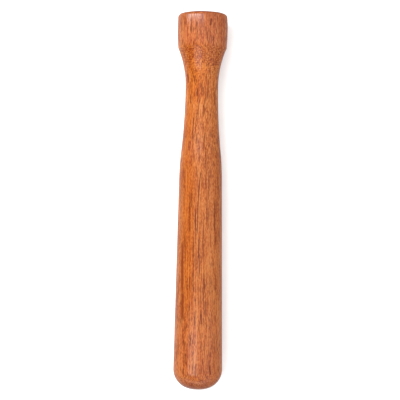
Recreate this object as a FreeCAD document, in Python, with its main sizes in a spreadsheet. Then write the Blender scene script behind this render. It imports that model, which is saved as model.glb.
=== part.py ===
import FreeCAD, Part
import Sketcher
import os

# A cocktail muddler, turned on a lathe from one piece of hardwood. It is shaped like a small
# baseball bat: a knob with a flat end, a slim neck, and a barrel that thickens to a rounded tip.
#
# It lies on its side, as it lies on a bar top. Its turning axis runs along Y, with the knob at the
# +Y end and the tip at the -Y end. The origin is on the surface that it lies on, under the middle
# of its length. All sizes are in millimetres.

# The driving dimensions, one row of the spreadsheet each. "From the face" is measured along the
# turning axis from the knob's flat end face. Every radius is that of an arc in the outline.
DIMENSIONS = {
    "overall_length": 203.2,
    "knob_diameter": 27.2,  # at the fullest place of the knob's slightly crowned side
    "knob_fullest_from_face": 8.2,
    "knob_crown_radius": 130.0,
    "knob_edge_radius": 2.0,
    "knob_base_radius": 0.6,  # the crisp corner where the knob's side turns into the flare
    "knob_base_from_face": 18.5,
    "neck_diameter": 17.7,  # the thinnest place
    "neck_from_face": 39.3,
    "sweep_radius": 327.0,  # the long hollow curve from the neck towards the barrel
    "shoulder_radius": 165.0,  # the full curve from that hollow to the barrel's straight taper
    "barrel_taper_angle": 0.9,  # degrees between the barrel's side and the turning axis
    "barrel_diameter": 26.54,  # at the thickest place, where the tip begins
    "tip_corner_radius": 10.6,
    "tip_dome_radius": 21.2,
}

# The ends of the outline's curves, as radius and distance from the face. They are only roughly in
# place: the constraints make them exact.
FACE_CENTRE = (0.0, 0.0)
FACE_RIM = (11.5, 0.0)
SIDE_TOP = (13.4, 1.9)
SIDE_FOOT = (13.2, 18.4)
FLARE_TOP = (13.1, 18.6)
NECK = (8.8, 39.3)
SHOULDER_TOP = (10.7, 74.0)
TAPER_TOP = (11.6, 89.0)
TAPER_FOOT = (13.3, 192.0)
DOME_RIM = (5.3, 202.5)
TIP_CENTRE = (0.0, 203.2)

# The sketcher's numbers for a curve's points, and for the sketch's own origin and vertical axis.
START = 1
END = 2
CENTRE = 3
ORIGIN = (-1, 1)
TURNING_AXIS = -2


def make_sheet(doc):
    """The spreadsheet that holds the driving dimensions."""
    sheet = doc.addObject("Spreadsheet::Sheet", "Dims")
    for row, (name, value) in enumerate(DIMENSIONS.items(), start=1):
        sheet.set(f"A{row}", name)
        sheet.set(f"B{row}", str(value))
        sheet.setAlias(f"B{row}", name)
    doc.recompute()


def in_sketch(place):
    """A place on the outline as a sketch point: the face is at the origin and the tip below it."""
    radius, from_face = place
    return FreeCAD.Vector(radius, -from_face, 0)


def line(top, foot):
    return Part.LineSegment(in_sketch(top), in_sketch(foot))


def arc(top, foot, radius, hollow=False):
    """An arc of that radius between two places, which bulges away from the axis unless hollow."""
    top, foot = in_sketch(top), in_sketch(foot)
    chord = foot - top
    away = FreeCAD.Vector(-chord.y, chord.x, 0).normalize()
    rise = chord.Length**2 / (8 * radius)
    return Part.Arc(top, (top + foot) / 2 + away * (-rise if hollow else rise), foot)


def rough_curves():
    """The outline's curves by name, in order from the face's centre to the tip and back."""
    size = DIMENSIONS
    flare_radius = 2.5 * (size["neck_from_face"] - size["knob_base_from_face"])
    return {
        "face": line(FACE_CENTRE, FACE_RIM),
        "edge": arc(FACE_RIM, SIDE_TOP, size["knob_edge_radius"]),
        "side": arc(SIDE_TOP, SIDE_FOOT, size["knob_crown_radius"]),
        "base": arc(SIDE_FOOT, FLARE_TOP, size["knob_base_radius"]),
        "flare": arc(FLARE_TOP, NECK, flare_radius, hollow=True),
        "sweep": arc(NECK, SHOULDER_TOP, size["sweep_radius"], hollow=True),
        "shoulder": arc(SHOULDER_TOP, TAPER_TOP, size["shoulder_radius"]),
        "taper": line(TAPER_TOP, TAPER_FOOT),
        "corner": arc(TAPER_FOOT, DOME_RIM, size["tip_corner_radius"]),
        "dome": arc(DOME_RIM, TIP_CENTRE, size["tip_dome_radius"]),
        "middle": line(TIP_CENTRE, FACE_CENTRE),
    }


class Outline:
    """The sketch of half the outline, with its curves and their ends found by name."""

    def __init__(self, body):
        self.sketch = body.newObject("Sketcher::SketchObject", "Outline")
        plane = next(f for f in body.Origin.OriginFeatures if f.Role == "XY_Plane")
        self.sketch.AttachmentSupport = [(plane, "")]
        self.sketch.MapMode = "FlatFace"
        self.curves = {}
        for name, curve in rough_curves().items():
            self.curves[name] = self.sketch.addGeometry(curve, False)

    def top(self, name):
        """The end of a curve that is nearer the face."""
        return self._ends(name)[0]

    def foot(self, name):
        """The end of a curve that is nearer the tip."""
        return self._ends(name)[1]

    def centre(self, name):
        return (self.curves[name], CENTRE)

    def _ends(self, name):
        curve = self.curves[name]
        ends = [(curve, START), (curve, END)]
        return sorted(ends, key=lambda end: -self.sketch.getPoint(*end).y)

    def fix(self, kind, *where):
        return self.sketch.addConstraint(Sketcher.Constraint(kind, *where))

    def size(self, name, formula, kind, *where):
        """A dimension that takes its value from the spreadsheet."""
        self.sketch.renameConstraint(self.fix(kind, *where), name)
        self.sketch.setExpression(f"Constraints.{name}", formula)

    def radius(self, name, formula):
        curve = self.curves[name]
        rough = self.sketch.Geometry[curve].Radius
        self.size(f"{name}_radius", formula, "Radius", curve, rough)

    def from_axis(self, name, formula, point):
        rough = self.sketch.getPoint(*point).x
        self.size(name, formula, "DistanceX", *ORIGIN, *point, rough)

    def from_face(self, name, formula, point):
        rough = -self.sketch.getPoint(*point).y
        self.size(name, formula, "DistanceY", *point, *ORIGIN, rough)


def join_curves(outline):
    """Closes the outline, with every curve running smoothly into the next one."""
    face, middle = outline.curves["face"], outline.curves["middle"]
    outline.fix("Coincident", face, START, *ORIGIN)
    outline.fix("Horizontal", face)
    outline.fix("Tangent", face, END, *outline.top("edge"))
    smooth = ("edge", "side", "base", "flare", "sweep", "shoulder", "taper", "corner", "dome")
    for upper, lower in zip(smooth, smooth[1:]):
        outline.fix("Tangent", *outline.foot(upper), *outline.top(lower))
    outline.fix("Coincident", *outline.foot("dome"), middle, START)
    outline.fix("Coincident", middle, END, *ORIGIN)
    outline.fix("PointOnObject", middle, START, TURNING_AXIS)
    outline.fix("PointOnObject", *outline.centre("dome"), TURNING_AXIS)
    # The flare and the sweep both run along the axis at the neck.
    outline.fix("Horizontal", *outline.centre("sweep"), *outline.top("sweep"))


def size_knob(outline):
    outline.radius("edge", "Dims.knob_edge_radius")
    outline.radius("side", "Dims.knob_crown_radius")
    outline.from_axis(
        "side_centre", "Dims.knob_diameter / 2 - Dims.knob_crown_radius", outline.centre("side")
    )
    outline.from_face("side_fullest", "Dims.knob_fullest_from_face", outline.centre("side"))
    outline.radius("base", "Dims.knob_base_radius")
    outline.from_face("base_place", "Dims.knob_base_from_face", outline.foot("base"))


def size_neck_and_barrel(outline):
    outline.from_axis("neck_radius", "Dims.neck_diameter / 2", outline.top("sweep"))
    outline.from_face("neck_place", "Dims.neck_from_face", outline.top("sweep"))
    outline.radius("sweep", "Dims.sweep_radius")
    outline.radius("shoulder", "Dims.shoulder_radius")
    rough = 0.016
    taper = (outline.curves["taper"], END)
    outline.size("taper_angle", "Dims.barrel_taper_angle", "Angle", TURNING_AXIS, START, *taper, rough)


def size_tip(outline):
    outline.radius("corner", "Dims.tip_corner_radius")
    outline.from_axis(
        "corner_centre", "Dims.barrel_diameter / 2 - Dims.tip_corner_radius", outline.centre("corner")
    )
    outline.radius("dome", "Dims.tip_dome_radius")
    outline.from_face("tip_place", "Dims.overall_length", outline.foot("dome"))


def make_turned_body(doc):
    """The whole muddler: the outline turned once round the axis."""
    body = doc.addObject("PartDesign::Body", "TurnedBody")
    body.Label = "turned_body"
    outline = Outline(body)
    join_curves(outline)
    size_knob(outline)
    size_neck_and_barrel(outline)
    size_tip(outline)
    doc.recompute()

    turning = body.newObject("PartDesign::Revolution", "Turning")
    turning.Profile = outline.sketch
    turning.ReferenceAxis = (outline.sketch, ["V_Axis"])
    turning.Angle = 360
    body.setExpression("Placement.Base.y", "Dims.overall_length / 2")
    body.setExpression("Placement.Base.z", "Dims.knob_diameter / 2")
    doc.recompute()
    return body


def check(doc, body):
    """Stops with an error if anything in the document is broken or left loose."""
    for item in doc.Objects:
        if "Invalid" in item.State or "Error" in item.State:
            raise RuntimeError(f"{item.Name} could not be made: {item.State}")
    if not doc.getObject("Outline").FullyConstrained:
        raise RuntimeError("the outline is not fully constrained")
    shape = body.Shape
    if shape.isNull() or not shape.isValid() or len(shape.Solids) != 1:
        raise RuntimeError(f"{body.Label} is not one valid solid")


def main():
    doc = FreeCAD.newDocument("Muddler")
    make_sheet(doc)
    body = make_turned_body(doc)
    check(doc, body)
    os.makedirs("parts", exist_ok=True)
    body.Shape.exportStep(f"parts/{body.Label}.step")
    box = body.Shape.optimalBoundingBox()
    print(f"{body.Label}: {box.XLength:.2f} x {box.YLength:.2f} x {box.ZLength:.2f} mm")
    print(f"lowest point {box.ZMin:.3f} mm, volume {body.Shape.Volume / 1000:.2f} cm3")


main()
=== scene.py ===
import math
import bpy
import numpy as np
from mathutils import Matrix, Vector


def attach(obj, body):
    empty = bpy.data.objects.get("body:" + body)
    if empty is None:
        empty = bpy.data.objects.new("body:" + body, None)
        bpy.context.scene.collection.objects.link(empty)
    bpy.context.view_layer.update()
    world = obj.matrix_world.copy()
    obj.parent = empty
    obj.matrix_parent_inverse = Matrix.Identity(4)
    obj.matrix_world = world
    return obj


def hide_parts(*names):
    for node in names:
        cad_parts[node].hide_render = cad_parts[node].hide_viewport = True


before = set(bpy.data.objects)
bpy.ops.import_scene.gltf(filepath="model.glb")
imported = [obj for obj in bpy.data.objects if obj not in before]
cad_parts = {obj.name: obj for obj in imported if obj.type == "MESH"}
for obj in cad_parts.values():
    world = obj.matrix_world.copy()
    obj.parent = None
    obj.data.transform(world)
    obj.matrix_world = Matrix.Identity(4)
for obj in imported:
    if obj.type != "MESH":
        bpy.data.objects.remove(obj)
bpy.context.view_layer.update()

# A turned wooden muddler that lies on its side on a pale floor, with its turning axis along Y and
# its knob at +Y. Outline and grain are given in millimetres; Blender's own lengths are in metres.
MM = 0.001

# The outline's driving dimensions, which are those of the CAD model. "From the face" is measured
# along the axis from the knob's flat end face. Every radius is that of an arc in the outline.
LENGTH = 203.2
KNOB_DIAMETER = 27.2  # at the fullest place of the knob's slightly crowned side
KNOB_FULLEST_FROM_FACE = 8.2
KNOB_CROWN_RADIUS = 130.0
KNOB_EDGE_RADIUS = 2.0
KNOB_BASE_RADIUS = 0.6  # the crisp corner where the knob's side turns into the flare
KNOB_BASE_FROM_FACE = 18.5
NECK_DIAMETER = 17.7  # the thinnest place
NECK_FROM_FACE = 39.3
SWEEP_RADIUS = 327.0  # the long hollow curve from the neck towards the barrel
SHOULDER_RADIUS = 165.0  # the full curve from that hollow to the barrel's straight taper
TAPER_ANGLE = math.radians(0.9)  # between the barrel's side and the axis
BARREL_DIAMETER = 26.54  # at the thickest place, where the tip begins
TIP_CORNER_RADIUS = 10.6
TIP_DOME_RADIUS = 21.2

AXIS_HEIGHT = KNOB_DIAMETER / 2  # of the turning axis above the floor
DOME_CENTRE = LENGTH - TIP_DOME_RADIUS  # from the face
INSET = 0.035  # keeps the round surface inside the CAD box, which is that of a faceted solid
AROUND = 440  # vertices in each ring, a multiple of 8
CAP_SIDE = AROUND // 4  # quads along each side of the square grid that closes an end
RING_SPACING = {  # along the outline's curves, from the face to the tip
    "edge": 0.20,
    "side": 1.10,
    "base": 0.04,
    "flare": 0.90,
    "sweep": 1.60,
    "shoulder": 1.60,
    "taper": 2.00,
    "corner": 0.55,
}


class Nodes:
    """Adds nodes to one tree. An input given as a socket is linked, and any other is set."""

    def __init__(self, tree):
        self.tree = tree

    def add(self, kind, inputs, **settings):
        node = self.tree.nodes.new(kind)
        for name, value in settings.items():
            setattr(node, name, value)
        for name, value in inputs.items():
            socket = node.inputs[name]
            if isinstance(value, bpy.types.NodeSocket):
                self.tree.links.new(value, socket)
            else:
                socket.default_value = value
        return node

    def math(self, operation, *values):
        return self.add("ShaderNodeMath", dict(enumerate(values)), operation=operation).outputs[0]

    def vector(self, operation, *values):
        node = self.add("ShaderNodeVectorMath", dict(enumerate(values)), operation=operation)
        return node.outputs["Value" if operation in ("LENGTH", "DOT_PRODUCT") else "Vector"]

    def part(self, vector, axis):
        return self.add("ShaderNodeSeparateXYZ", {0: vector}).outputs[axis]

    def step(self, value, start, end, low=0.0, high=1.0):
        """Runs smoothly from low to high as the value goes from start to end, either way round."""
        inputs = {"Value": value, "From Min": start, "From Max": end, "To Min": low, "To Max": high}
        return self.add("ShaderNodeMapRange", inputs, interpolation_type="SMOOTHSTEP").outputs[0]

    def spread(self, value, low, high):
        """Maps a noise, whose values lie mostly between 0.3 and 0.7, onto low to high."""
        inputs = {"Value": value, "From Min": 0.3, "From Max": 0.7, "To Min": low, "To Max": high}
        return self.add("ShaderNodeMapRange", inputs).outputs[0]

    def noise(self, where, detail=1.0, output="Fac"):
        inputs = {"Vector": where, "Scale": 1.0, "Detail": detail}
        return self.add("ShaderNodeTexNoise", inputs).outputs[output]

    def blend(self, factor, first, second, kind="MIX"):
        inputs = {0: factor, 6: first, 7: second}
        node = self.add("ShaderNodeMix", inputs, data_type="RGBA", blend_type=kind)
        return node.outputs[2]


def colour(red, green, blue):
    return (red, green, blue, 1.0)


# --- the turned body's mesh -------------------------------------------------------------------

# A place in the outline is an array of its radius from the axis and its distance from the face.
SETTLING_ROUNDS = 20  # far more than the flare's radius needs to settle


def towards(start, end, distance):
    """The place at that distance from the start on the line to the end."""
    return start + (end - start) * (distance / np.linalg.norm(end - start))


def inside_crown(side, radius, depth):
    """The centre of an arc of that radius and depth that touches the knob's side from inside."""
    reach = KNOB_CROWN_RADIUS - radius
    return np.array([side[0] + math.sqrt(reach**2 - (depth - side[1]) ** 2), depth])


def knob_curves():
    """Centre, start and end of the knob's edge, side and base, and of the flare under it."""
    side = np.array([KNOB_DIAMETER / 2 - KNOB_CROWN_RADIUS, KNOB_FULLEST_FROM_FACE])
    edge = inside_crown(side, KNOB_EDGE_RADIUS, KNOB_EDGE_RADIUS)
    face_rim = edge - (0, KNOB_EDGE_RADIUS)
    side_top = towards(side, edge, KNOB_CROWN_RADIUS)

    # The base touches the flare at base_foot, which moves a little as the flare's radius settles.
    neck = np.array([NECK_DIAMETER / 2, NECK_FROM_FACE])
    base_foot = np.array([KNOB_DIAMETER / 2, KNOB_BASE_FROM_FACE])
    for _ in range(SETTLING_ROUNDS):
        out, down = base_foot[0] - neck[0], neck[1] - base_foot[1]
        flare = neck + ((out**2 + down**2) / (2 * out), 0)
        base_depth = towards(base_foot, flare, -KNOB_BASE_RADIUS)[1]
        base = inside_crown(side, KNOB_BASE_RADIUS, base_depth)
        base_foot = np.array([towards(base, flare, KNOB_BASE_RADIUS)[0], KNOB_BASE_FROM_FACE])
    side_foot = towards(side, base, KNOB_CROWN_RADIUS)
    return {
        "edge": (edge, face_rim, side_top),
        "side": (side, side_top, side_foot),
        "base": (base, side_foot, base_foot),
        "flare": (flare, base_foot, neck),
    }


def barrel_curves():
    """Centre, start and end of the sweep, the shoulder, the taper and the tip's corner."""
    neck = np.array([NECK_DIAMETER / 2, NECK_FROM_FACE])
    sweep = neck + (SWEEP_RADIUS, 0)

    # The corner touches the dome from inside.
    dome = np.array([0, DOME_CENTRE])
    corner_out = BARREL_DIAMETER / 2 - TIP_CORNER_RADIUS
    apart = TIP_DOME_RADIUS - TIP_CORNER_RADIUS
    corner = np.array([corner_out, DOME_CENTRE + math.sqrt(apart**2 - corner_out**2)])
    dome_rim = towards(dome, corner, TIP_DOME_RADIUS)

    # The taper's length is that at which the shoulder, which touches its top, touches the sweep.
    outward = np.array([math.cos(TAPER_ANGLE), -math.sin(TAPER_ANGLE)])
    down = np.array([math.sin(TAPER_ANGLE), math.cos(TAPER_ANGLE)])
    taper_foot = corner + outward * TIP_CORNER_RADIUS
    gap = taper_foot - outward * SHOULDER_RADIUS - sweep
    apart = SWEEP_RADIUS + SHOULDER_RADIUS
    length = gap @ down - math.sqrt((gap @ down) ** 2 - gap @ gap + apart**2)
    taper_top = taper_foot - down * length
    shoulder = taper_top - outward * SHOULDER_RADIUS
    shoulder_top = towards(shoulder, sweep, SHOULDER_RADIUS)
    return {
        "sweep": (sweep, neck, shoulder_top),
        "shoulder": (shoulder, shoulder_top, taper_top),
        "taper": (None, taper_top, taper_foot),
        "corner": (corner, taper_foot, dome_rim),
    }


def along_curve(centre, start, end, spacing):
    """Points from the start of a curve to just before its end. With no centre it is straight."""
    if centre is None:
        count = max(2, round(np.linalg.norm(end - start) / spacing))
        share = np.arange(count)[:, None] / count
        return start + (end - start) * share
    first, last = start - centre, end - centre
    turn = math.atan2(first[0] * last[1] - first[1] * last[0], first @ last)
    radius = np.linalg.norm(first)
    count = max(3, round(abs(turn) * radius / spacing))
    angles = math.atan2(first[1], first[0]) + turn * np.arange(count) / count
    return centre + radius * np.stack([np.cos(angles), np.sin(angles)], axis=1)


def outline_points():
    """The place of every ring, from the face's rim to the dome's."""
    curves = {**knob_curves(), **barrel_curves()}
    runs = [along_curve(*curves[name], spacing) for name, spacing in RING_SPACING.items()]
    dome_rim = curves["corner"][2]
    points = np.concatenate(runs + [dome_rim[None]])
    points[:, 0] -= INSET
    return points


def turned(radius, angle, from_face):
    """Vertices across, along and up in millimetres, with the axis along Y and the face at +Y."""
    across = radius * np.cos(angle)
    up = radius * np.sin(angle) + AXIS_HEIGHT
    along = np.broadcast_to(LENGTH / 2 - from_face, across.shape)
    return np.stack([across, along, up], axis=2)


def disc_grid(rim):
    """Radius and angle at each point of a square grid that is bent into a disc with that rim."""
    steps = np.linspace(-1.0, 1.0, CAP_SIDE + 1)
    a, b = np.meshgrid(steps, steps, indexing="ij")
    reach = np.maximum(np.abs(a), np.abs(b))
    wide = np.abs(a) >= np.abs(b)
    with np.errstate(divide="ignore", invalid="ignore"):
        flat = np.where(wide, b / a, a / b) * math.pi / 4
    flat = np.nan_to_num(flat)
    angle = np.where(wide, flat + (a < 0) * math.pi, math.pi / 2 - flat + (b < 0) * math.pi)
    return reach * rim, angle


def dome_depth(radius, rim, rim_depth):
    """The dome's distance from the face, tilted a little to meet the last ring, which is inset."""
    drop = rim_depth - DOME_CENTRE - math.sqrt(TIP_DOME_RADIUS**2 - rim**2)
    bulge = np.sqrt(TIP_DOME_RADIUS**2 - radius**2)
    return DOME_CENTRE + bulge + drop * radius / rim


def border():
    """The border of a cap's grid, as row and column, in the order of a ring's vertices."""
    half = CAP_SIDE // 2
    right = [(CAP_SIDE, half + i) for i in range(half)]
    top = [(CAP_SIDE - i, CAP_SIDE) for i in range(CAP_SIDE)]
    left = [(0, CAP_SIDE - i) for i in range(CAP_SIDE)]
    bottom = [(i, 0) for i in range(CAP_SIDE)]
    last = [(CAP_SIDE, i) for i in range(half)]
    return right + top + left + bottom + last


def add_cap(vertices, faces, ring_start, grid, faces_tip):
    """Closes the ring of vertices that begins at ring_start with a grid of quads."""
    number = {place: ring_start + i for i, place in enumerate(border())}
    for row in range(1, CAP_SIDE):
        for column in range(1, CAP_SIDE):
            number[row, column] = len(vertices)
            vertices.append(grid[row, column])
    for row in range(CAP_SIDE):
        for column in range(CAP_SIDE):
            quad = [(row, column), (row + 1, column), (row + 1, column + 1), (row, column + 1)]
            faces.append([number[place] for place in (quad if faces_tip else quad[::-1])])


def side_faces(rings):
    """The quads between each ring of vertices and the next one towards the tip."""
    faces = []
    for ring in range(rings - 1):
        upper, lower = ring * AROUND, (ring + 1) * AROUND
        for i in range(AROUND):
            j = (i + 1) % AROUND
            faces.append([upper + i, upper + j, lower + j, lower + i])
    return faces


def make_body():
    """The whole muddler as one closed mesh of quads."""
    points = outline_points()
    angles = np.arange(AROUND) * 2 * math.pi / AROUND
    vertices = list(turned(points[:, :1], angles, points[:, 1:]).reshape(-1, 3))
    faces = side_faces(len(points))

    radius, angle = disc_grid(points[0, 0])
    add_cap(vertices, faces, 0, turned(radius, angle, 0.0), faces_tip=False)
    radius, angle = disc_grid(points[-1, 0])
    tip = turned(radius, angle, dome_depth(radius, *points[-1]))
    add_cap(vertices, faces, (len(points) - 1) * AROUND, tip, faces_tip=True)

    mesh = bpy.data.meshes.new("muddler")
    mesh.from_pydata((np.array(vertices) * MM).tolist(), [], faces)
    mesh.validate()
    mesh.update()
    mesh.shade_smooth()
    body = bpy.data.objects.new("muddler", mesh)
    bpy.context.scene.collection.objects.link(body)
    return body


# --- the wood's sizes and colours -------------------------------------------------------------

# Linear colours. The tints are added to the wood, and the shades multiply it.
DEEP_ORANGE = colour(0.164, 0.026, 0.0010)
ORANGE = colour(0.278, 0.066, 0.0090)
PALE_ORANGE = colour(0.356, 0.118, 0.0260)
RED_BROWN = colour(0.140, 0.020, 0.0010)
VESSEL_BROWN = colour(0.074, 0.012, 0.0008)
PAINTED_SHEEN_AT_ENDS = colour(0.016, 0.006, 0.009)  # painted sheen: the wood paler towards both ends
PAINTED_NECK_LIGHT = colour(0.030, 0.012, 0.001)  # painted light: the neck brighter
GLOW_SHADE = colour(1.0, 0.84, 0.40)  # in the bands of deeper orange
END_GRAIN_SHADE = colour(0.50, 0.38, 0.36)  # where the wood is cut across its fibres

# Each kind of grain: the size in mm of one cell of its pattern, across and along the fibres, and a
# shift that sets its pattern apart from the others. The figure and the tool marks follow the
# lathe's axis instead of the fibres.
STRAYING = (26.0, 75.0, 0.0)
BROAD_TONES = (5.0, 60.0, 3.1)
STREAKS = (0.36, 16.0, 11.7)
FIBRES = (0.31, 1.5, 23.3)
FIGURE = (9.0, 13.0, 5.9)
TOOL_MARKS = (1.6, 0.58, 67.7)
LONG_VESSELS = (0.88, 30.0, 0.0)
SHORT_VESSELS = (0.70, 6.0, 40.5)

# The grain runs along the axis on the barrel and the knob, and leans to one side in between.
LEAN_BETWEEN = (20.0, 76.0)
LEAN_BY = 3.6  # mm, by the upper end
WANDER = 2.4  # the width in mm of the band in which a fibre strays
PITH = (-24.0, 0.0, -34.0)  # the tree's own middle, in mm from the muddler's axis
RING_WIDTH = 2.7  # one year's growth
LATE_WOOD = (0.36, 0.10)  # shares of a year from its middle, where it sets in and where it is full

# The tone is 0 in the deepest orange and 1 in the palest. A pair is what a noise adds to it at its
# low and its high end, and a single number is what the others take away.
MIDDLE_TONE = 0.5
BROAD_ADDS = (-0.16, 0.16)
STREAKS_ADD = (-0.56, 0.56)
FIGURE_ADDS = (-0.06, 0.06)
FIBRES_ADD = (0.09, 1.09)
LATE_WOOD_TAKES = 0.06
TOOL_MARKS_TAKE = 0.38
# What the painted shade in the crease under the knob takes away.
CREASE_SHADE_TAKES = 0.13

# Places along Y from the middle: where each of these is absent, and where it is full. A stretch
# that ends on both sides has one such pair for its lower side and one for its upper side.
# Painted sheen: the wood paler towards the knob and towards the tip.
PAINTED_SHEEN_KNOB = (82.0, 85.0)
PAINTED_SHEEN_BARREL = (-40.0, -80.0)
# Painted light: the neck brighter.
PAINTED_LIGHT_ON_NECK = ((30.0, 50.0), (77.0, 69.0))
TOOL_MARKED_FLARE = ((62.0, 73.0), (84.0, 82.5))
# Painted shade in the crease under the knob.
PAINTED_CREASE_SHADE = ((71.0, 79.0), (84.0, 82.5))
# Painted shade: the knob darker towards its end face.
PAINTED_SHADE_BY_RIM = (90.0, 98.0)
BARREL_PAINTED_SHEEN_SHARE = 0.7  # the painted sheen's share on the barrel, where the knob's is 1
# How strong the painted shade towards the knob's end face is.
PAINTED_RIM_SHADE_STRENGTH = 0.25
TOOL_MARK_SPREAD = 1.4  # the tool marks run from minus this to this

# The long vessels are darkest near the shoulder, and the short ones are faintest there. Each pair
# of darknesses is that near it and that far from it.
SHOULDER_PLACE = 4.0
VESSELS_CHANGE = (40.0, 58.0)  # mm from that place, to either side
LONG_VESSEL_DARKNESS = (0.80, 0.46)
SHORT_VESSEL_DARKNESS = (0.42, 0.86)
LONG_VESSEL_RADIUS = 0.22  # as a share of the pattern's cell, which has one vessel in it
SHORT_VESSEL_RADIUS = 0.29
VESSEL_EDGE = (1.15, 0.70)  # where a vessel begins and where it is full, as shares of its radius

END_GRAIN_FACING = (0.35, 1.0)  # how much the surface faces along the axis, from not to fully
END_GRAIN_STRENGTH = 0.55

# The surface under the lacquer. Heights and depths are in mm.
ROUGHNESS = (0.50, 0.38)  # between the fibres and on them
PORE_ROUGHNESS = 0.25
PORE_DEPTH = 0.015
FIBRE_HEIGHT = 0.012
TOOL_MARK_DEPTH = 0.03
WOOD_SPECULAR = 0.06
LACQUER_WEIGHT = 0.44
LACQUER_ROUGHNESS = 0.16
LACQUER_IOR = 1.50

# Marks in the wood on the side that faces up: across and along from the middle, half their width,
# half their length, and how far they lean to the right in degrees.
DARK_LINES = (
    (2.9, 17.0, 0.26, 12.0, -0.9),
    (-0.5, 9.0, 0.34, 8.0, 4.5),
    (-1.1, -6.0, 0.31, 13.0, 1.1),
    (-0.4, -24.8, 0.39, 6.2, 0.7),
    (0.0, -33.0, 0.36, 6.2, -2.0),
    (-5.4, -1.0, 0.26, 6.2, 0.1),
    (-4.4, 0.6, 0.26, 4.6, 0.0),
    (-2.2, -10.0, 0.29, 6.6, -0.6),
    (-5.3, -11.0, 0.26, 5.6, 0.1),
    (-3.2, -25.8, 0.26, 4.8, -0.4),
    (2.1, -25.7, 0.26, 4.3, -0.8),
    (2.6, -42.5, 0.29, 5.6, -0.5),
    (-3.1, -42.3, 0.26, 5.8, -0.2),
    (7.9, -7.2, 0.29, 9.3, -0.3),
    (-1.15, -90.0, 0.22, 4.6, -0.9),
    (-5.1, -43.0, 0.26, 3.6, 0.0),
    (2.8, -47.5, 0.24, 4.6, 8.0),
    (-1.8, -62.0, 0.26, 4.6, 0.0),
    (1.4, -62.0, 0.24, 3.8, 0.0),
    (-4.0, -73.6, 0.26, 3.2, -2.0),
    (-2.5, -87.0, 0.24, 5.2, 0.0),
    (-6.6, -83.7, 0.24, 3.2, 0.0),
    (6.6, -90.0, 0.30, 2.6, -8.0),
    (8.5, -73.0, 0.24, 3.2, 0.0),
    (-6.0, 94.0, 0.29, 5.2, 0.0),
    (4.3, 95.6, 0.40, 2.2, 8.0),
    (-3.4, 93.6, 0.24, 2.4, 3.0),
    (-1.3, 91.0, 0.24, 2.8, -4.0),
    (-3.0, 88.0, 0.24, 2.8, 0.0),
    (2.5, 88.0, 0.26, 2.8, -2.0),
    (3.9, 88.4, 0.24, 3.0, 4.0),
    (-8.9, 96.0, 0.26, 2.2, -2.0),
    (-3.9, 65.0, 0.26, 2.8, -8.0),
    (2.2, 66.6, 0.26, 2.2, 5.0),
    (0.1, 60.2, 0.26, 4.4, 0.0),
    (3.2, 60.0, 0.26, 6.4, 3.5),
    (-2.3, 58.4, 0.26, 2.6, 2.0),
    (-1.6, 51.0, 0.26, 5.6, 11.0),
    (-3.0, 40.5, 0.24, 6.6, 3.0),
    (-4.4, 39.0, 0.26, 7.4, 2.0),
    (1.3, 50.0, 0.24, 5.4, 3.0),
    (1.7, 32.6, 0.26, 5.2, 4.0),
    (7.1, 56.6, 0.24, 5.4, 1.0),
    (-6.1, 55.2, 0.24, 2.8, 0.0),
    (-2.5, 33.6, 0.24, 3.4, 2.0),
)
RED_PATCHES = (
    (-9.0, -35.0, 1.0, 15.0, -0.8),
    (-8.6, -56.0, 1.2, 8.0, -0.8),
    (6.6, -89.6, 1.0, 3.0, -8.0),
    (4.4, 95.6, 0.9, 2.2, 10.0),
    (-7.6, 66.2, 0.7, 2.8, -6.0),
)
PALE_PATCHES = (
    (-8.5, -9.4, 0.9, 1.4, 0.0),
    (-4.6, -3.4, 0.6, 4.6, 0.0),
)
GLOWING_BANDS = (
    (-6.6, -4.0, 4.6, 64.0, -0.6),
    (-3.0, 69.0, 11.0, 18.0, 0.0),
)
# The share of a mark's half width in which it is full, and how strong it is there.
DARK_LINE_LOOK = (0.45, 0.90)
RED_PATCH_LOOK = (0.1, 0.85)
PALE_PATCH_LOOK = (0.2, 0.6)
GLOWING_BAND_LOOK = (0.0, 0.7)
FULL_HALF_LENGTH = 0.70  # the share of every mark's half length in which it is full
MARKED_HEIGHTS = (3.0, 4.0)  # above the axis, where the marks set in and where they are full


# --- the wood's material ----------------------------------------------------------------------


def place_in_mm(nodes):
    """The place in the wood in millimetres from the turning axis and the middle of the length."""
    coordinates = nodes.add("ShaderNodeTexCoord", {}).outputs["Object"]
    return nodes.vector("MULTIPLY_ADD", coordinates, (1 / MM,) * 3, (0, 0, -AXIS_HEIGHT))


def stretched(nodes, place, across, along, shift):
    """Coordinates in steps of the given lengths, across and along the fibres."""
    scaled = nodes.vector("MULTIPLY", place, (1 / across, 1 / along, 1 / across))
    return nodes.vector("ADD", scaled, (shift, shift, shift))


def along_grain(nodes, place):
    """The place as it would be if the grain ran straight along Y."""
    lean = nodes.step(nodes.part(place, "Y"), *LEAN_BETWEEN, 0.0, -LEAN_BY)
    straight = nodes.vector("ADD", place, nodes.add("ShaderNodeCombineXYZ", {"X": lean}).outputs[0])
    slow = nodes.noise(stretched(nodes, place, *STRAYING), output="Color")
    stray = nodes.vector("SUBTRACT", slow, (0.5, 0.5, 0.5))
    stray = nodes.vector("MULTIPLY", stray, (WANDER, 0, WANDER))
    return nodes.vector("ADD", straight, stray)


def within(nodes, along, low_side, high_side):
    """1 in a stretch of the length, and down to 0 on either side of it."""
    return nodes.math("MULTIPLY", nodes.step(along, *low_side), nodes.step(along, *high_side))


def growth_rings(nodes, grain):
    """0 in the early wood of each year and 1 in the late wood, round the tree's distant pith."""
    from_pith = nodes.vector("SUBTRACT", grain, PITH)
    radius = nodes.vector("LENGTH", nodes.vector("MULTIPLY", from_pith, (1, 0, 1)))
    year = nodes.math("FRACT", nodes.math("DIVIDE", radius, RING_WIDTH))
    off_middle = nodes.math("ABSOLUTE", nodes.math("SUBTRACT", year, 0.5))
    return nodes.step(off_middle, *LATE_WOOD)


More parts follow.
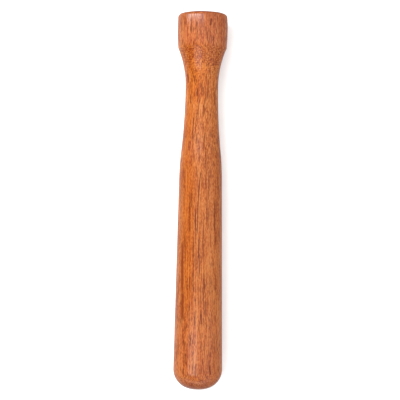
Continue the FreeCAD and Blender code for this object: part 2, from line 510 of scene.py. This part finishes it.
def turned_marks(nodes, place, along):
    """The short crosswise marks that the lathe tool left on the flare."""
    marked = nodes.noise(stretched(nodes, place, *TOOL_MARKS))
    marked = nodes.spread(marked, -TOOL_MARK_SPREAD, TOOL_MARK_SPREAD)
    return nodes.math("MULTIPLY", marked, within(nodes, along, *TOOL_MARKED_FLARE))


def vessels(nodes, grain, sizes, radius):
    """1 inside long thin vessels and 0 outside."""
    inputs = {"Vector": stretched(nodes, grain, *sizes), "Scale": 1.0}
    cells = nodes.add("ShaderNodeTexVoronoi", inputs)
    edge, full = VESSEL_EDGE
    return nodes.step(cells.outputs["Distance"], radius * edge, radius * full)


def marks(nodes, place, listed, core, strength):
    """Full strength in the core of each listed mark, and down to 0 at its edge.

    It does without Mapping nodes, because so many of them would fill the renderer's stack.
    """
    total = 0.0
    for across, along, half_width, half_length, lean in listed:
        turn = math.radians(lean)
        sideways = (math.cos(turn) / half_width, -math.sin(turn) / half_width, 0)
        lengthways = (math.sin(turn) / half_length, math.cos(turn) / half_length, 0)
        away = nodes.vector("SUBTRACT", place, (across, along, 0))
        off_line = nodes.math("ABSOLUTE", nodes.vector("DOT_PRODUCT", away, sideways))
        off_middle = nodes.math("ABSOLUTE", nodes.vector("DOT_PRODUCT", away, lengthways))
        width = nodes.step(off_line, 1.0, core)
        length = nodes.step(off_middle, 1.0, FULL_HALF_LENGTH)
        total = nodes.math("MAXIMUM", total, nodes.math("MULTIPLY", width, length))
    faces_up = nodes.step(nodes.part(place, "Z"), *MARKED_HEIGHTS)
    return nodes.math("MULTIPLY", nodes.math("MULTIPLY", total, faces_up), strength)


def plain_wood(nodes, place, grain, fibres, late_wood, tool_marks):
    """The colour of the wood by its tone, with painted shade in the crease under the knob, but
    without the vessels and the listed marks.
    """
    broad = nodes.noise(stretched(nodes, grain, *BROAD_TONES), detail=2.0)
    streaks = nodes.noise(stretched(nodes, grain, *STREAKS))
    figure = nodes.noise(stretched(nodes, place, *FIGURE))
    # Painted shade: darker in the crease under the knob.
    crease_shade = within(nodes, nodes.part(place, "Y"), *PAINTED_CREASE_SHADE)
    tone = nodes.math("ADD", nodes.spread(broad, *BROAD_ADDS), nodes.spread(streaks, *STREAKS_ADD))
    tone = nodes.math("ADD", tone, nodes.spread(figure, *FIGURE_ADDS))
    tone = nodes.math("SUBTRACT", tone, nodes.math("MULTIPLY", late_wood, LATE_WOOD_TAKES))
    tone = nodes.math("ADD", tone, nodes.spread(fibres, *FIBRES_ADD))
    tone = nodes.math("SUBTRACT", tone, nodes.math("MULTIPLY", tool_marks, TOOL_MARKS_TAKE))
    tone = nodes.math("SUBTRACT", tone, nodes.math("MULTIPLY", crease_shade, CREASE_SHADE_TAKES))
    wood = nodes.blend(nodes.step(tone, 0.0, MIDDLE_TONE), DEEP_ORANGE, ORANGE)
    return nodes.blend(nodes.step(tone, MIDDLE_TONE, 1.0), wood, PALE_ORANGE)


def tinted(nodes, wood, place, along):
    """The wood with painted sheen at its ends, painted light at its neck, and the patches and bands
    of other hues.
    """
    # Painted sheen: paler towards the knob and towards the tip.
    knob_painted_sheen = nodes.step(along, *PAINTED_SHEEN_KNOB)
    barrel_painted_sheen = nodes.step(along, *PAINTED_SHEEN_BARREL, 0.0, BARREL_PAINTED_SHEEN_SHARE)
    wood = nodes.blend(nodes.math("MAXIMUM", knob_painted_sheen, barrel_painted_sheen), wood, PAINTED_SHEEN_AT_ENDS, "ADD")
    # Painted light: the neck brighter.
    wood = nodes.blend(within(nodes, along, *PAINTED_LIGHT_ON_NECK), wood, PAINTED_NECK_LIGHT, "ADD")
    red = marks(nodes, place, RED_PATCHES, *RED_PATCH_LOOK)
    wood = nodes.blend(red, wood, RED_BROWN)
    pale = marks(nodes, place, PALE_PATCHES, *PALE_PATCH_LOOK)
    wood = nodes.blend(pale, wood, PALE_ORANGE)
    glowing = marks(nodes, place, GLOWING_BANDS, *GLOWING_BAND_LOOK)
    return nodes.blend(glowing, wood, GLOW_SHADE, "MULTIPLY")


def open_pores(nodes, place, grain, along):
    """How dark the vessels are: those of the grain and the dark lines that are listed."""
    large = vessels(nodes, grain, LONG_VESSELS, LONG_VESSEL_RADIUS)
    small = vessels(nodes, grain, SHORT_VESSELS, SHORT_VESSEL_RADIUS)
    from_shoulder = nodes.math("ABSOLUTE", nodes.math("SUBTRACT", along, SHOULDER_PLACE))
    large_darkness = nodes.step(from_shoulder, *VESSELS_CHANGE, *LONG_VESSEL_DARKNESS)
    small_darkness = nodes.step(from_shoulder, *VESSELS_CHANGE, *SHORT_VESSEL_DARKNESS)
    large = nodes.math("MULTIPLY", large, large_darkness)
    small = nodes.math("MULTIPLY", small, small_darkness)
    lines = marks(nodes, place, DARK_LINES, *DARK_LINE_LOOK)
    return nodes.math("MAXIMUM", nodes.math("MAXIMUM", large, small), lines)


def with_end_grain(nodes, wood, late_wood):
    """The wood with darker ends, on which the growth rings show."""
    normal = nodes.add("ShaderNodeNewGeometry", {}).outputs["Normal"]
    facing = nodes.math("ABSOLUTE", nodes.part(normal, "Y"))
    end_grain = nodes.step(facing, *END_GRAIN_FACING, 0.0, END_GRAIN_STRENGTH)
    wood = nodes.blend(end_grain, wood, nodes.blend(1.0, wood, END_GRAIN_SHADE, "MULTIPLY"))
    return nodes.blend(nodes.math("MULTIPLY", late_wood, end_grain), wood, DEEP_ORANGE)


def relief(nodes, fibres, pores, tool_marks):
    """The height of the surface in mm above the smooth mesh."""
    height = nodes.math("MULTIPLY", pores, -PORE_DEPTH)
    height = nodes.math("ADD", height, nodes.spread(fibres, 0.0, FIBRE_HEIGHT))
    return nodes.math("ADD", height, nodes.math("MULTIPLY", tool_marks, -TOOL_MARK_DEPTH))


def make_wood():
    """The lacquered hardwood: colour, roughness and relief by the place in the wood."""
    material = bpy.data.materials.new("lacquered_hardwood")
    material.use_nodes = True
    nodes = Nodes(material.node_tree)
    place = place_in_mm(nodes)
    along = nodes.part(place, "Y")
    grain = along_grain(nodes, place)
    fibres = nodes.noise(stretched(nodes, grain, *FIBRES))
    late_wood = growth_rings(nodes, grain)
    tool_marks = turned_marks(nodes, place, along)

    wood = plain_wood(nodes, place, grain, fibres, late_wood, tool_marks)
    wood = tinted(nodes, wood, place, along)
    pores = open_pores(nodes, place, grain, along)
    wood = nodes.blend(pores, wood, VESSEL_BROWN)
    # Painted shade: the knob darker towards its end face.
    wood = nodes.blend(nodes.step(along, *PAINTED_SHADE_BY_RIM, 0.0, PAINTED_RIM_SHADE_STRENGTH), wood, DEEP_ORANGE)
    wood = with_end_grain(nodes, wood, late_wood)

    pore_roughness = nodes.math("MULTIPLY", pores, PORE_ROUGHNESS)
    roughness = nodes.math("ADD", nodes.spread(fibres, *ROUGHNESS), pore_roughness)
    height = relief(nodes, fibres, pores, tool_marks)
    bump = nodes.add("ShaderNodeBump", {"Height": height, "Distance": MM, "Strength": 1.0})

    shader = material.node_tree.nodes["Principled BSDF"]
    links = material.node_tree.links
    links.new(wood, shader.inputs["Base Color"])
    links.new(roughness, shader.inputs["Roughness"])
    links.new(bump.outputs[0], shader.inputs["Normal"])
    shader.inputs["Specular IOR Level"].default_value = WOOD_SPECULAR
    shader.inputs["Coat Weight"].default_value = LACQUER_WEIGHT
    shader.inputs["Coat Roughness"].default_value = LACQUER_ROUGHNESS
    shader.inputs["Coat IOR"].default_value = LACQUER_IOR
    return material


# --- the studio -------------------------------------------------------------------------------

# The camera looks straight down from above the axis, a little turned. Lengths are in metres.
CAMERA_ABOVE_AXIS = 0.650
VIEW_WIDTH = 0.21680  # of the picture at the height of the axis
SENSOR = 36.0
CLIP_NEAR = 0.01
CLIP_FAR = 20.0
ROLL = math.radians(0.85)
AIM_RIGHT = -0.00007  # of the picture's middle from the middle of the length
AIM_UP = 0.00092

FLOOR_SIZE = 2.6
FLOOR_COLOUR = colour(0.88, 0.88, 0.88)
FLOOR_ROUGHNESS = 0.8
FLOOR_SPECULAR = 0.1

# The world's light from the left, from below on the left, and from the right.
WORLD_LEFT = 0.20
WORLD_BELOW_LEFT = 1.00
WORLD_RIGHT = 0.50
BELOW = (0.0, -0.75)  # how far down it comes from, where that light sets in and where it is full
LEFT_TO_RIGHT = (-0.4, 0.4)

# Each lamp's degrees left of overhead and forward, its distance, its size and its radiance.
LAMPS = {
    "far": (42.0, 24.5, 0.9, (0.90, 0.17), 13.0),
    "far_wide": (36.0, 25.0, 0.9, (1.50, 0.19), 8.0),
    "near": (25.0, -19.6, 0.9, (0.70, 0.36), 3.9),
    "low": (0.0, -76.0, 1.2, (2.40, 0.50), 2.0),
    "overhead": (-25.0, 0.0, 1.3, (3.30, 3.10), 1.0),
}


def make_camera():
    data = bpy.data.cameras.new("camera")
    data.sensor_width = SENSOR
    data.lens = SENSOR * CAMERA_ABOVE_AXIS / VIEW_WIDTH
    data.clip_start = CLIP_NEAR
    data.clip_end = CLIP_FAR
    camera = bpy.data.objects.new("camera", data)
    right = Vector((math.cos(ROLL), math.sin(ROLL), 0))
    up = Vector((-math.sin(ROLL), math.cos(ROLL), 0))
    axis = Vector((0, 0, AXIS_HEIGHT * MM))
    camera.location = axis + right * AIM_RIGHT + up * AIM_UP + Vector((0, 0, CAMERA_ABOVE_AXIS))
    camera.rotation_euler = (0, 0, ROLL)
    bpy.context.scene.collection.objects.link(camera)
    bpy.context.scene.camera = camera


def softbox(name, left, forward, distance, size, radiance):
    """A flat lamp that faces the muddler: left of overhead, and then forward towards the knob."""
    data = bpy.data.lights.new(name, "AREA")
    data.shape = "RECTANGLE"
    data.size, data.size_y = size
    data.energy = radiance * math.pi * size[0] * size[1]
    lamp = bpy.data.objects.new(name, data)
    left, forward = math.radians(left), math.radians(forward)
    level = math.cos(forward)
    away = Vector((-math.sin(left) * level, math.sin(forward), math.cos(left) * level))
    across = Vector((0, 1, 0)).cross(away).normalized()
    lamp.location = away * distance
    lamp.rotation_euler = Matrix((across, away.cross(across), away)).transposed().to_euler()
    bpy.context.scene.collection.objects.link(lamp)


def make_floor():
    half = FLOOR_SIZE / 2
    corners = [(-half, -half, 0), (half, -half, 0), (half, half, 0), (-half, half, 0)]
    mesh = bpy.data.meshes.new("floor")
    mesh.from_pydata(corners, [], [(0, 1, 2, 3)])
    floor = bpy.data.objects.new("floor", mesh)
    bpy.context.scene.collection.objects.link(floor)
    material = bpy.data.materials.new("floor")
    material.use_nodes = True
    shader = material.node_tree.nodes["Principled BSDF"]
    shader.inputs["Base Color"].default_value = FLOOR_COLOUR
    shader.inputs["Roughness"].default_value = FLOOR_ROUGHNESS
    shader.inputs["Specular IOR Level"].default_value = FLOOR_SPECULAR
    mesh.materials.append(material)
    floor.visible_glossy = False  # the world stands for it in the lacquer, where it would glare


def make_world():
    """Uneven light for the muddler, and plain white for the camera."""
    world = bpy.data.worlds.new("studio")
    bpy.context.scene.world = world
    world.use_nodes = True
    nodes = Nodes(world.node_tree)
    direction = nodes.add("ShaderNodeTexCoord", {}).outputs["Generated"]
    left = nodes.step(nodes.part(direction, "Z"), *BELOW, WORLD_LEFT, WORLD_BELOW_LEFT)
    to_right = nodes.step(nodes.part(direction, "X"), *LEFT_TO_RIGHT)
    light = nodes.add("ShaderNodeMix", {0: to_right, 2: left, 3: WORLD_RIGHT}).outputs[0]
    seen = nodes.add("ShaderNodeLightPath", {}).outputs["Is Camera Ray"]
    light = nodes.math("MAXIMUM", light, seen)
    background = world.node_tree.nodes["Background"]
    background.inputs["Color"].default_value = colour(1.0, 1.0, 1.0)
    world.node_tree.links.new(light, background.inputs["Strength"])


def make_studio():
    make_world()
    make_floor()
    make_camera()
    for name, settings in LAMPS.items():
        softbox(name, *settings)
    bpy.context.scene.view_settings.view_transform = "Standard"


body = make_body()
body.data.materials.append(make_wood())
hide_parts("turned_body")
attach(body, "root")
make_studio()
